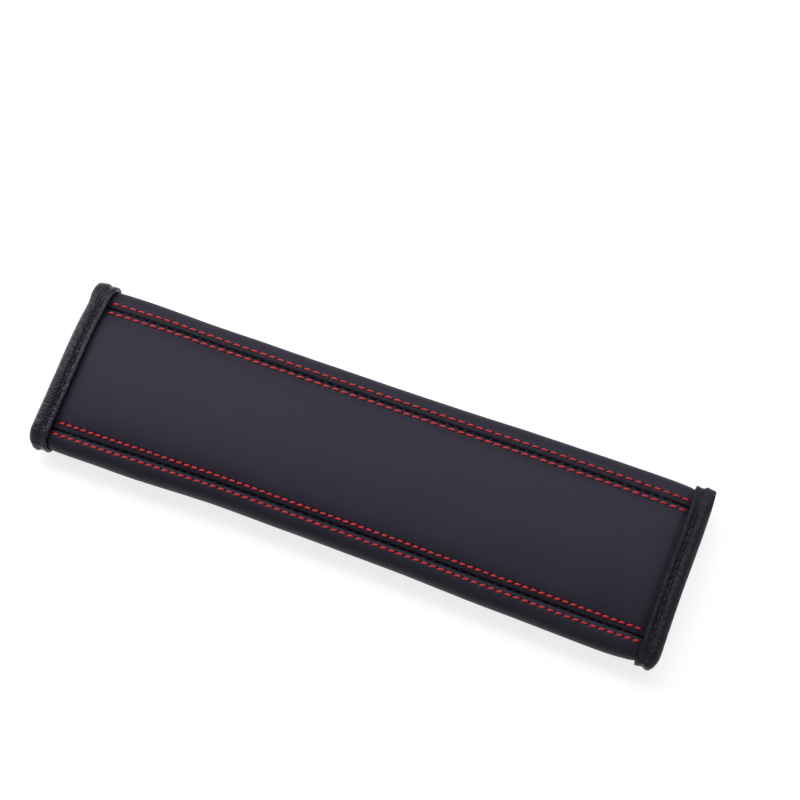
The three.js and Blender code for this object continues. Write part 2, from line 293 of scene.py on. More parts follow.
def grid_body(name, columns, rows, put, painted_shade=None, uv=None):
    """A closed body. Its outline has one point for each row and is drawn again at every column.

    put(column, row) is the place of a point in metres, and the outline closes on itself.
    """
    body = bmesh.new()
    bmesh.ops.create_grid(body, x_segments=len(columns) - 1, y_segments=len(rows), size=1)
    body.verts.ensure_lookup_table()
    wide = len(columns)
    # Painted shade for the leather's colour, one number on each point
    shade = body.verts.layers.float.new("painted_shade")
    cloth = body.loops.layers.uv.new("cloth")
    around = list(rows) + [rows[0]]
    flat = {}
    for i, column in enumerate(columns):
        for j, row in enumerate(around):
            vert = body.verts[j * wide + i]
            vert.co = put(column, row)
            vert[shade] = painted_shade(column, row) if painted_shade else 0.0
            flat[vert] = Vector(uv(column, row)) if uv else Vector((column * MM, j * MM))
    for face in body.faces:
        for loop in face.loops:
            loop[cloth].uv = flat[loop.vert]
    bmesh.ops.remove_doubles(body, verts=body.verts, dist=1e-6)
    rims = [edge for edge in body.edges if edge.is_boundary]
    bmesh.ops.holes_fill(body, edges=rims, sides=0)
    bmesh.ops.recalc_face_normals(body, faces=body.faces)
    return finished(name, body)


def finished(name, body, smooth_faces=True):
    """Turns a bmesh into an object at the origin."""
    mesh = bpy.data.meshes.new(name)
    body.to_mesh(mesh)
    body.free()
    if smooth_faces:
        mesh.shade_smooth()
    piece = bpy.data.objects.new(name, mesh)
    bpy.context.scene.collection.objects.link(piece)
    return piece


def dress(piece, slot, material, *nodes):
    """Gives a piece its finish and its body, and hides the CAD nodes that it stands for."""
    piece.data.materials.append(material)
    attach(piece, "root")
    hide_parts(*nodes)


def spaced(start, end, step):
    """Evenly spaced numbers from start to end, about a step apart."""
    count = max(1, round(abs(end - start) / step))
    return [start + (end - start) * i / count for i in range(count + 1)]


def joined(*stretches):
    """Lists of numbers that follow each other, without their shared ends."""
    numbers = []
    for stretch in stretches:
        numbers += stretch[1:] if numbers and abs(numbers[-1] - stretch[0]) < 1e-9 else stretch
    return numbers


# Materials

def new_material(name, colour, roughness, specular):
    """A material with its shader set. Returns the material, its node tree and its shader."""
    material = bpy.data.materials.new(name)
    material.use_nodes = True
    nodes = material.node_tree.nodes
    shader = nodes["Principled BSDF"]
    shader.inputs["Base Color"].default_value = (*colour, 1)
    shader.inputs["Roughness"].default_value = roughness
    shader.inputs["Specular IOR Level"].default_value = specular
    return material, material.node_tree, shader


def node(tree, kind, **values):
    """A new node with its sockets and settings set by name."""
    made = tree.nodes.new(kind)
    for name, value in values.items():
        socket = made.inputs.get(name.replace("_", " "))
        if socket is not None:
            socket.default_value = value
        else:
            setattr(made, name, value)
    return made


def ramp(tree, source, low, high, low_value, high_value):
    """Turns low to high of a number into low_value to high_value."""
    made = node(tree, "ShaderNodeMapRange")
    made.inputs["From Min"].default_value = low
    made.inputs["From Max"].default_value = high
    made.inputs["To Min"].default_value = low_value
    made.inputs["To Max"].default_value = high_value
    tree.links.new(source, made.inputs["Value"])
    return made.outputs["Result"]


def mixed(tree, share, first, second):
    """Mixes two colours by a share between 0 and 1."""
    made = tree.nodes.new("ShaderNodeMix")
    made.data_type = "RGBA"
    tree.links.new(share, made.inputs["Factor"])
    for socket, colour in ((made.inputs["A"], first), (made.inputs["B"], second)):
        if isinstance(colour, bpy.types.NodeSocket):
            tree.links.new(colour, socket)
        else:
            socket.default_value = (*colour, 1)
    return made.outputs["Result"]


def bumped(tree, shader, height, distance, strength=1.0, under=None):
    """Adds a bump to the shader's normal, over an earlier one."""
    made = node(tree, "ShaderNodeBump", Strength=strength, Distance=distance)
    tree.links.new(height, made.inputs["Height"])
    if under is not None:
        tree.links.new(under, made.inputs["Normal"])
    tree.links.new(made.outputs["Normal"], shader.inputs["Normal"])
    return made.outputs["Normal"]


def leather_material():
    """Smooth coated leather: fine pebbled grain, slight mottling, and painted shade in the seams, needle holes
    and rows and beside the bound ends.
    """
    leather = bpy.context.scene.pad_leather
    colour = tuple(leather.colour)
    material, tree, shader = new_material("coated_leather", colour, leather.roughness, 0.13)
    shader.inputs["Specular Tint"].default_value = (0.92, 0.88, 1.0, 1)
    where = node(tree, "ShaderNodeTexCoord")
    mottle = node(tree, "ShaderNodeTexNoise", Scale=60.0, Detail=3.0)
    grain = node(tree, "ShaderNodeTexVoronoi", Scale=1900.0)
    fine = node(tree, "ShaderNodeTexNoise", Scale=900.0, Detail=2.0)
    for texture in (mottle, grain, fine):
        tree.links.new(where.outputs["Object"], texture.inputs["Vector"])
    # Painted shade: the colour darkens towards 0.12 of itself where the painted shade number on the points is
    # high.
    painted_shade = node(tree, "ShaderNodeAttribute", attribute_name="painted_shade")
    dark = tuple(0.12 * value for value in colour)
    light = tuple(1.12 * value for value in colour)
    low = tuple(0.9 * value for value in colour)
    base = mixed(tree, ramp(tree, mottle.outputs["Fac"], 0.3, 0.7, 0, 1), low, light)
    tree.links.new(mixed(tree, painted_shade.outputs["Fac"], base, dark), shader.inputs["Base Color"])
    rough = ramp(tree, mottle.outputs["Fac"], 0.3, 0.7, leather.roughness - 0.03, leather.roughness + 0.04)
    tree.links.new(rough, shader.inputs["Roughness"])
    first = bumped(tree, shader, grain.outputs["Distance"], 0.00002, 0.5)
    bumped(tree, shader, fine.outputs["Fac"], 0.00003, 0.4, first)
    return material


def binding_material(name, roughness, gloss, grain):
    """Coated tape: fine ribs across it, soft creases and small glints."""
    binding = bpy.context.scene.pad_binding
    colour = tuple(binding.colour)
    material, tree, shader = new_material(name, colour, roughness, gloss)
    shader.inputs["Specular Tint"].default_value = (0.92, 0.87, 1.0, 1)
    where = node(tree, "ShaderNodeTexCoord")
    ribs = node(tree, "ShaderNodeTexWave", Scale=330.0, Distortion=1.2, Detail=1.0)
    ribs.bands_direction = "X"
    tree.links.new(where.outputs["UV"], ribs.inputs["Vector"])
    creases = node(tree, "ShaderNodeTexNoise", Scale=1000.0, Detail=1.5, Roughness=0.5)
    patches = node(tree, "ShaderNodeTexNoise", Scale=230.0, Detail=3.0)
    for texture in (creases, patches):
        tree.links.new(where.outputs["Object"], texture.inputs["Vector"])
    light = tuple(2.2 * value for value in colour)
    tree.links.new(
        mixed(tree, ramp(tree, patches.outputs["Fac"], 0.5, 0.75, 0, 1), colour, light),
        shader.inputs["Base Color"],
    )
    rough = ramp(tree, creases.outputs["Fac"], 0.35, 0.65, roughness - 0.1, roughness + 0.15)
    tree.links.new(rough, shader.inputs["Roughness"])
    first = bumped(tree, shader, ribs.outputs["Fac"], 0.00006, 0.7)
    bumped(tree, shader, creases.outputs["Fac"], grain, 1.0, first)
    return material


def thread_material(name, colour, gloss):
    """Twisted thread: slanting strands, dark and light in turn, partly the real twist and partly painted shade
    and a pinkish painted highlight, with a fine fuzz.
    """
    material, tree, shader = new_material(name, colour, 0.5, gloss)
    where = node(tree, "ShaderNodeTexCoord")
    strands = node(tree, "ShaderNodeTexWave", Scale=5.0, Distortion=0.4)
    strands.bands_direction = "DIAGONAL"
    tree.links.new(where.outputs["UV"], strands.inputs["Vector"])
    fuzz = node(tree, "ShaderNodeTexNoise", Scale=3500.0, Detail=2.0)
    tree.links.new(where.outputs["Object"], fuzz.inputs["Vector"])
    # Painted shade and highlight: dark strands at 0.55 of the colour, light ones lifted and tinted towards pink.
    dark = tuple(0.55 * value for value in colour)
    light = tuple(min(1.0, 1.3 * value + 0.045) for value in colour)
    shade = mixed(tree, ramp(tree, strands.outputs["Fac"], 0.1, 0.9, 0, 1), dark, light)
    tree.links.new(shade, shader.inputs["Base Color"])
    first = bumped(tree, shader, strands.outputs["Fac"], 0.0001, 0.7)
    bumped(tree, shader, fuzz.outputs["Fac"], 0.00005, 0.5, first)
    return material


def cloth_material(name, colour, ribs_per_metre, height):
    """Plain woven or knitted cloth with crossing ribs."""
    material, tree, shader = new_material(name, colour, 0.85, 0.25)
    where = node(tree, "ShaderNodeTexCoord")
    along = node(tree, "ShaderNodeTexWave", Scale=ribs_per_metre, Distortion=0.6)
    across = node(tree, "ShaderNodeTexWave", Scale=ribs_per_metre, Distortion=0.6)
    across.bands_direction = "Y"
    for texture in (along, across):
        tree.links.new(where.outputs["Object"], texture.inputs["Vector"])
    light = tuple(1.8 * value for value in colour)
    tree.links.new(mixed(tree, along.outputs["Fac"], colour, light), shader.inputs["Base Color"])
    first = bumped(tree, shader, along.outputs["Fac"], height, 0.8)
    bumped(tree, shader, across.outputs["Fac"], height, 0.8, first)
    shader.inputs["Sheen Weight"].default_value = 0.3
    return material


def foam_material():
    """Open sponge with small pores, painted darker inside as painted shade."""
    material, tree, shader = new_material("sponge", (0.07, 0.07, 0.072), 0.95, 0.1)
    where = node(tree, "ShaderNodeTexCoord")
    pores = node(tree, "ShaderNodeTexVoronoi", Scale=1300.0)
    tree.links.new(where.outputs["Object"], pores.inputs["Vector"])
    # Painted shade: the colour darkens towards the middle of each pore.
    share = ramp(tree, pores.outputs["Distance"], 0.1, 0.6, 0, 1)
    base = mixed(tree, share, (0.02, 0.02, 0.021), (0.08, 0.08, 0.083))
    tree.links.new(base, shader.inputs["Base Color"])
    bumped(tree, shader, pores.outputs["Distance"], 0.0002, 0.9)
    return material


# Leather panels

# Where the surface is drawn along the sleeve: a few columns to each stitch
COLUMN_STEP = PITCH / 8

# Steps round the sleeve: beside a seam, over so many millimetres, and on the open leather and its inside
SEAM_STEP = 0.4
CENTRE_BAND = 6.5
SIDE_BAND = 4.5
TOP_STEP, FOLD_STEP, FLAP_STEP = 2.0, 1.0, 1.5

# A panel's inside lies at least this deep, and most of the leather's thickness under the face
INSIDE_DEPTH = 0.4
INSIDE_SHARE = 0.9


def panel_columns():
    """X of the drawn columns, closer together than the stitches."""
    return spaced(-COVER_END, COVER_END, COLUMN_STEP)


def panel_inside(run, x):
    """Depth of a panel's inside, which follows its face."""
    return max(skin_depth(run, x), press_at(run, x) + INSIDE_DEPTH) + LEATHER * INSIDE_SHARE


def panel_body(name, outer, inner, material, node_name):
    """A leather panel between two lists of runs, one for its face and one back along its inside."""
    rows = [(run, 0) for run in outer] + [(run, 1) for run in reversed(inner)]

    def put(x, row):
        run, inside = row
        return place(run, x, panel_inside(run, x) if inside else skin_depth(run, x))

    def shade(x, row):
        return 0.0 if row[1] else painted_shade_at(row[0], x)

    piece = grid_body(name, panel_columns(), rows, put, shade, lambda x, row: (x * MM, row[0] * MM))
    dress(piece, "leather", material, node_name)


class PAD_OT_centre_panel(bpy.types.Operator):
    """Makes the puffed panel over the middle of the sleeve"""

    bl_idname = "pad.centre_panel"
    bl_label = "Centre Panel"

    def execute(self, context):
        edge = SEAM_RUN - SEAM_GAP
        fine = edge - CENTRE_BAND
        outer = joined(
            spaced(-edge, -fine, SEAM_STEP),
            spaced(-fine, fine, TOP_STEP),
            spaced(fine, edge, SEAM_STEP),
        )
        panel_body("centre_leather", outer, spaced(-edge, edge, 2 * TOP_STEP), leather_material(), "centre_panel")
        return {"FINISHED"}


class PAD_OT_side_panels(bpy.types.Operator):
    """Makes the panels that wrap each long side and run on to a back flap"""

    bl_idname = "pad.side_panels"
    bl_label = "Side Panels"

    def execute(self, context):
        material = leather_material()
        for side, name, edge in ((FAR, "far_side", FAR_EDGE_RUN), (NEAR, "near_side", -NEAR_EDGE_RUN)):
            start = SEAM_RUN + SEAM_GAP
            outer = joined(
                spaced(start, start + SIDE_BAND, SEAM_STEP),
                spaced(start + SIDE_BAND, FLAP_START, FOLD_STEP),
                spaced(FLAP_START, edge, FLAP_STEP),
            )
            inner = joined(spaced(start, FLAP_START, 2 * FOLD_STEP), spaced(FLAP_START, edge, 2 * FLAP_STEP))
            self.make(side, name, outer, inner, edge, material)
        return {"FINISHED"}

    def make(self, side, name, outer, inner, edge, material):
        """One panel, with its flap's edge turned up as a round hem."""
        hem_radius = FLAP_WALL / 2
        rows = [(side * run, "face") for run in outer if run < edge - hem_radius]
        rows += [(side * edge, turn) for turn in spaced(0.0, math.pi, math.pi / 6)]
        rows += [(side * run, "inside") for run in reversed(inner) if run < edge - HEM]

        def put(x, row):
            run, part = row
            if part == "face":
                return place(run, x, skin_depth(run, x))
            if part == "inside":
                return place(run, x, panel_inside(run, x) if abs(run) < FLAP_START else LEATHER)
            reach = side * (edge - hem_radius + hem_radius * math.sin(part))
            ripple = 0.05 * noise.noise(Vector((x / 5, 3.0, side)))
            return place(reach, x, hem_radius * (1 - math.cos(part)) + ripple)

        def shade(x, row):
            return painted_shade_at(row[0], x) if row[1] == "face" else 0.0

        piece = grid_body(
            name + "_leather", panel_columns(), rows, put, shade, lambda x, row: (x * MM, row[0] * MM)
        )
        dress(piece, "leather", material, name + "_panel")


# Padding and lining

def ply_body(name, runs, outer_depth, inner_depth):
    """A ply inside the wall, between two depths under the skin."""
    rows = [(run, 0) for run in runs] + [(run, 1) for run in reversed(runs)]

    def put(x, row):
        run, inside = row
        return place(run, x, inner_depth(run, x) if inside else outer_depth(run, x))

    columns = spaced(-COVER_END, COVER_END, 2.5)
    return grid_body(name, columns, rows, put, None, lambda x, row: (x * MM, row[0] * MM))


class PAD_OT_padding(bpy.types.Operator):
    """Makes the sponge sheet under the leather and the lining that the belt slides on"""

    bl_idname = "pad.padding"
    bl_label = "Padding and Lining"

    def execute(self, context):
        edge = CROWN_RUN + 0.8 * FOLD_RUN
        deep = PADDED_WALL - FOAM - LINING - PLY_GAP

        def foam_top(run, x):
            inside = wall_at(run) - LINING - PLY_GAP
            return min(max(skin_depth(run, x), press_at(run, x)) + deep, inside - 0.3)

        def foam_bottom(run, x):
            return wall_at(run) - LINING - PLY_GAP

        foam = ply_body("sponge_padding", spaced(-edge, edge, 1.2), foam_top, foam_bottom)
        dress(foam, "foam", foam_material(), "foam_padding")

        start, end = NEAR_EDGE_RUN + HEM + PLY_GAP, FAR_EDGE_RUN - HEM - PLY_GAP
        lining = ply_body(
            "belt_lining",
            spaced(start, end, 1.2),
            lambda run, x: wall_at(run) - LINING,
            lambda run, x: wall_at(run) + 0.04 * noise.noise(Vector((x / 6, run / 6, 1.0))),
        )
        knit = cloth_material("knitted_lining", (0.010, 0.010, 0.012), 420.0, 0.00006)
        dress(lining, "lining", knit, "lining")
        return {"FINISHED"}


class PAD_OT_closure(bpy.types.Operator):
    """Makes the hook tape and the loop tape that close the back"""

    bl_idname = "pad.closure"
    bl_label = "Closure Tapes"

    def execute(self, context):
        material = cloth_material("closure_tape", (0.007, 0.007, 0.008), 900.0, 0.0001)
        for name, node_name, pile in (("hook_strip", "hook_tape", 1), ("loop_strip", "loop_tape", -1)):
            low, high = (Vector(end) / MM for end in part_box(node_name))
            half = Vector(((high.x - low.x) / 2, (high.y - low.y) / 2, (high.z - low.z) / 2))
            middle = (low + high) / 2
            around = spaced(0.0, 2 * math.pi, math.pi / 24)[:-1]
            put = partial(self.strip_point, half, middle, pile)
            strip = grid_body(name, spaced(low.x, high.x, 1.0), around, put)
            dress(strip, "tape", material, node_name)
        return {"FINISHED"}

    def strip_point(self, half, middle, pile, x, angle):
        """A point round a flat strip with rounded edges and a slightly uneven pile."""
        across, up = math.cos(angle), math.sin(angle)
        squareness = 1 / 6 if abs(across) < 0.98 else 1
        y = half.y * math.copysign(abs(across) ** 0.35, across)
        z = half.z * math.copysign(abs(up) ** squareness, up)
        fuzz = 0.06 * noise.noise(Vector((x * 1.7, y * 1.7, pile)))
        return Vector((x, middle.y + y, middle.z + z * (1 - abs(fuzz)))) * MM


# End bindings

# Outline of the folded tape, from its inner edge over the outside, round the end and back along the
# lining. Each point is a distance from the inner edge, a base and an amount. The amount is millimetres
# under the skin, a share of the way through the wall, or millimetres under the lining.
BINDING_OUTLINE = (
    (0.30, "skin", 0.25), (0.08, "skin", 0.0), (0.0, "skin", -0.35), (0.06, "skin", -0.65),
    (0.22, "skin", -0.86), (0.45, "skin", -0.97), (0.8, "skin", -1.0), (1.15, "skin", -0.95),
    (1.5, "skin", -0.84), (1.8, "skin", -0.68), (2.05, "skin", -0.48), (2.3, "skin", -0.34),
    (2.55, "skin", -0.30), (2.8, "skin", -0.36), (3.0, "skin", -0.58), (3.25, "skin", -0.86),
    (3.6, "skin", -1.12), (4.05, "skin", -1.3), (4.55, "skin", -1.38), (5.1, "skin", -1.34),
    (5.65, "skin", -1.16), (6.2, "skin", -0.82), (6.7, "skin", -0.28), (7.1, "skin", 0.4),
    (7.34, "wall", 0.25), (7.4, "wall", 0.45), (7.38, "wall", 0.65), (7.25, "wall", 0.85),
    (7.0, "lining", 0.3), (6.6, "lining", 0.65), (6.0, "lining", 0.85), (5.0, "lining", 0.92),
    (3.6, "lining", 0.88), (2.2, "lining", 0.92), (0.8, "lining", 0.86), (0.15, "lining", 0.7),
    (0.0, "lining", 0.45), (0.2, "lining", 0.2), (3.0, "lining", 0.2), (6.0, "lining", 0.2),
    (6.35, "wall", 0.5), (6.0, "skin", -0.12), (3.0, "skin", -0.12),
)
GROOVE_FROM_EDGE = 2.45

# How far the tape bunches up at the turns: left or right end (-1 or 1), then the long side
BUNCHES = {(-1, FAR): 0.3, (1, FAR): 0.0, (-1, NEAR): 0.0, (1, NEAR): 0.1}

# How far each end's near corner is rounded off, by left or right end
CORNER_ROUNDING = {-1: 1.5, 1: 1.0}

# How far the tape may stand over the skin, on top and on the back, and at the far shoulder
PROUD_ON_TOP = 1.6
PROUD_ON_BACK = 1.2
PROUD_AT_SHOULDER = 1.25


def bind_depth(base, amount, run, x):
    """Depth under the skin of a point of the tape's outline."""
    sink = press_at(run, x)
    wall = wall_at(run)
    if base == "skin":
        return sink + amount
    if base == "wall":
        return sink + amount * (wall - sink)
    return wall + amount


class PAD_OT_end_bindings(bpy.types.Operator):
    """Makes the folded tape over each raw end, with its puckers"""

    bl_idname = "pad.end_bindings"
    bl_label = "End Bindings"

    def execute(self, context):
        runs = spaced(NEAR_EDGE_RUN, FAR_EDGE_RUN, 0.5)
        finishes = ((-1, "left_binding", 0.22, 0.22, 0.00045), (1, "right_binding", 0.46, 0.16, 0.0004))
        for side, name, roughness, gloss, grain in finishes:
            material = binding_material(name + "_tape", roughness, gloss, grain)
            self.make(side, name, runs, material)
        return {"FINISHED"}

    def bunch(self, side, run):
        """How far the tape's folds stand out where it turns round the long sides."""
        height = BUNCHES[side, FAR if run > 0 else NEAR]
        start = smooth(CROWN_RUN - 2, CROWN_RUN + 3, abs(run))
        return height * start * smooth(FLAP_START - 3, FLAP_START - 9, abs(run))

    def make(self, side, name, runs, material):
        """One binding. The tape bunches where it turns round the long sides."""
        seed = 20.0 + side

        def put(run, point):
            from_edge, base, amount = point
            x = side * (BINDING_EDGE + from_edge)
            depth = bind_depth(base, amount, run, side * BINDING_EDGE)
            fold = smooth(CROWN_RUN - 3, CROWN_RUN + 4, abs(run))
            fold *= smooth(FLAP_START + 1, FLAP_START - 5, abs(run))
            if base == "skin" and amount < -0.2:
                pucker = math.cos(2 * math.pi * run / PITCH) * hump(from_edge - GROOVE_FROM_EDGE, 1.4)
                wrinkle = noise.noise(Vector((from_edge * 0.45, run * 0.55, seed)))
                small = noise.noise(Vector((from_edge * 1.6, run * 1.9, seed + 3)))
                fill = fold * hump(from_edge - GROOVE_FROM_EDGE, 0.7) * 0.35
                depth += 0.05 * pucker + (0.10 + 0.22 * fold) * wrinkle + 0.05 * small - fill
                proud = PROUD_ON_BACK if abs(run) > FLAP_START - 2 else PROUD_ON_TOP
                depth = max(depth, -proud) - self.bunch(side, run)
            if run > 0 and base == "skin" and from_edge > 4.5:
                depth += (-PROUD_AT_SHOULDER - depth) * 0.8 * fold
            if from_edge > 3.2 and base != "lining":
                x += side * 0.5 * self.bunch(side, run)
                corner_share = smooth(CROWN_RUN + 5, FLAP_START - 5, -run)
                x -= side * CORNER_ROUNDING[side] * corner_share * smooth(3.2, 7, from_edge)
            if from_edge > 5.8 and base != "lining":
                x -= side * (0.12 + 0.15 * noise.noise(Vector((run * 0.22, seed, 1.0))) ** 2)
            return place(run, x, depth)

        def cloth(run, point):
            return run * MM, point[0] * MM

        piece = grid_body(name, runs, BINDING_OUTLINE, put, None, cloth)
        dress(piece, "binding", material, name.replace("binding", "end_binding"))


# Stitches

# A red stitch: its length as a share of the pitch, its height as a share of its width, how far it lies in
# the leather as a share of its height, how far its ends dip, and how far it curves in each side's rows
RED_LENGTH = 0.84
RED_FLATNESS = 0.72
RED_LIFT = 0.30
RED_DIP = 0.34
RED_ARCH = {FAR: 0.26, NEAR: 0.08}

# Black stitches: length, width, height and dip, and how deep the seam stitches lie in each seam
BLACK_STITCH = (2.3, 0.5, 0.4, 0.15)
SEAM_STITCH = (1.5, 0.36, 0.3, 0.1)
SEAM_STITCH_SINK = {FAR: 0.02, NEAR: 0.18}


def stitch_template(length, width, height, bend, arch=0.0):
    """One stitch as a mesh: a twisted bead along X whose ends dip into their needle holes."""
    bead = bmesh.new()
    lengthways = Matrix.Rotation(math.pi / 2, 4, "Y")
    bmesh.ops.create_uvsphere(bead, u_segments=10, v_segments=7, radius=1, matrix=lengthways, calc_uvs=True)
    for vert in bead.verts:
        along = max(-1.0, min(1.0, vert.co.x))
        ring = math.hypot(vert.co.y, vert.co.z)
        full = math.sqrt(max(0.0, 1 - abs(along) ** 3.2))
        scale = full / ring if ring > 1e-6 else 0.0
        angle = math.atan2(vert.co.z, vert.co.y)
        lobe = 1 + 0.07 * math.cos(2 * angle - 2.5 * along)
        vert.co = Vector((
            along * length / 2,
            vert.co.y * scale * lobe * width / 2 + arch * (0.5 - along**2),
            vert.co.z * scale * lobe * height / 2 - bend * along**4,
        )) * MM
    mesh = bpy.data.meshes.new("stitch")
    bead.to_mesh(mesh)
    bead.free()
    return mesh


def stitch_row(name, template, seats, material, slot, node_name, tilt=0.0, seed=0.0):
    """Copies a stitch to each seat. A seat is (origin, along, out) with the origin in metres."""
    row = bmesh.new()
    for i, (origin, along, out) in enumerate(seats):
        first = len(row.verts)
        row.from_mesh(template)
        row.verts.ensure_lookup_table()
        across = out.cross(along)
        turn = Matrix((along, across, out)).transposed().to_4x4()
        drift = noise.noise(Vector((i * 1.37, seed, 0.5)))
        size = 1 + 0.12 * noise.noise(Vector((i * 2.1, seed, 9.5)))
        spin = Matrix.Rotation(tilt + 0.12 * drift, 4, "Z")
        shift = Matrix.Translation(origin)
        stretch = Matrix.Diagonal((1.0, size, size, 1.0))
        bmesh.ops.transform(row, matrix=shift @ turn @ spin @ stretch, verts=row.verts[first:])
    dress(finished(name, row), slot, material, node_name)


def way_out(run, along):
    """The way out of the skin, square to a stitch."""
    _, _, out_y, out_z = skin_at(run)
    out = Vector((0, out_y, out_z))
    return (out - along * out.dot(along)).normalized()


def row_seats(run, pitch, lift, shift=0.0):
    """Seats along the sleeve on the leather, one between each two needle holes."""
    count = math.floor(2 * ROW_END / pitch)
    step = 0.8
    seats = []
    for i in range(count):
        x = (i + 0.5 + shift - count / 2) * pitch
        middle = place(run, x, skin_depth(run, x) - lift)
        before = place(run, x - step, press_at(run, x - step) + skin_fall(run, x - step))
        after = place(run, x + step, press_at(run, x + step) + skin_fall(run, x + step))
        along = (after - before).normalized()
        seats.append((middle, along, way_out(run, along)))
    return seats


class PAD_OT_topstitching(bpy.types.Operator):
    """Sews the four rows of coloured topstitching"""

    bl_idname = "pad.topstitching"
    bl_label = "Topstitching"

    def execute(self, context):
        thread = context.scene.pad_thread
        material = thread_material("red_thread", tuple(thread.colour), 0.45)
        width, height = thread.width / MM, thread.width * RED_FLATNESS / MM
        for side, name in ((FAR, "far"), (NEAR, "near")):
            tilt = thread.near_tilt if side == NEAR else thread.far_tilt
            for step, part in ((1, "outer"), (-1, "inner")):
                pitch = ROW_PITCH[side, part]
                template = stitch_template(RED_LENGTH * pitch, width, height, RED_DIP, RED_ARCH[side])
                seats = row_seats(side * (SEAM_RUN + step * ROW_FROM_SEAM), pitch, height * RED_LIFT)
                label = f"{name}_{part}"
                stitch_row(
                    label + "_red_row", template, seats, material, "red_thread",
                    label + "_topstitch", tilt, 3.0 * side + step,
                )
                bpy.data.meshes.remove(template)
        return {"FINISHED"}


class PAD_OT_black_threads(bpy.types.Operator):
    """Sews the black threads of the seams, the bindings and the closure tapes"""

    bl_idname = "pad.black_threads"
    bl_label = "Black Threads"

    def execute(self, context):
        material = thread_material("black_thread", (0.003, 0.003, 0.0035), 0.3)
        template = stitch_template(*BLACK_STITCH)
        short = stitch_template(*SEAM_STITCH)
        for side, name in ((FAR, "far"), (NEAR, "near")):
            seats = row_seats(side * SEAM_RUN, PITCH, -SEAM_STITCH_SINK[side], 0.5)[1:-2]
            stitch_row(
                f"{name}_seam_stitches", short, seats, material, "black_thread", f"{name}_seam_thread",
            )
        self.sew_bindings(template, material)
        self.sew_tapes(template, material)
        bpy.data.meshes.remove(template)
        bpy.data.meshes.remove(short)
        return {"FINISHED"}

    def sew_bindings(self, template, material):
        """A row in the groove of each binding, all the way round."""
        for side, name in ((-1, "left"), (1, "right")):
            seats = []
            x = side * (BINDING_EDGE + GROOVE_FROM_EDGE)
            start, end = NEAR_EDGE_RUN + PITCH / 2, FAR_EDGE_RUN - PITCH / 2
            for run in spaced(start, end, PITCH):
                sink = press_at(run, side * BINDING_EDGE)
                before, origin, after = (place(run + step, x, sink - 0.6) for step in (-0.5, 0, 0.5))
                along = (after - before).normalized()
                seats.append((origin, along, way_out(run, along)))
            stitch_row(
                f"{name}_binding_stitches", template, seats, material, "black_thread",
                f"{name}_binding_stitch", 0.1, 7.0 * side,
            )

    def sew_tapes(self, template, material):
        """Two rows through each closure tape: under the near flap and on the lining of the far one."""
        for tape, out in (("hook", Vector((0, 0, -1))), ("loop", Vector((0, 0, 1)))):
            for part in ("near", "far"):
                node_name = f"{tape}_stitch_{part}"
                low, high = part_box(node_name)
                y, z = (low[1] + high[1]) / 2, (low[2] + high[2]) / 2
                count = math.floor(2 * TAPE_END / PITCH)
                seats = []
                for i in range(count):
                    origin = Vector(((i + 0.5 - count / 2) * PITCH * MM, y, z)) - out * 0.1 * MM
                    seats.append((origin, Vector((1, 0, 0)), out))
                stitch_row(f"{tape}_{part}_row", template, seats, material, "black_thread", node_name)


# Stage

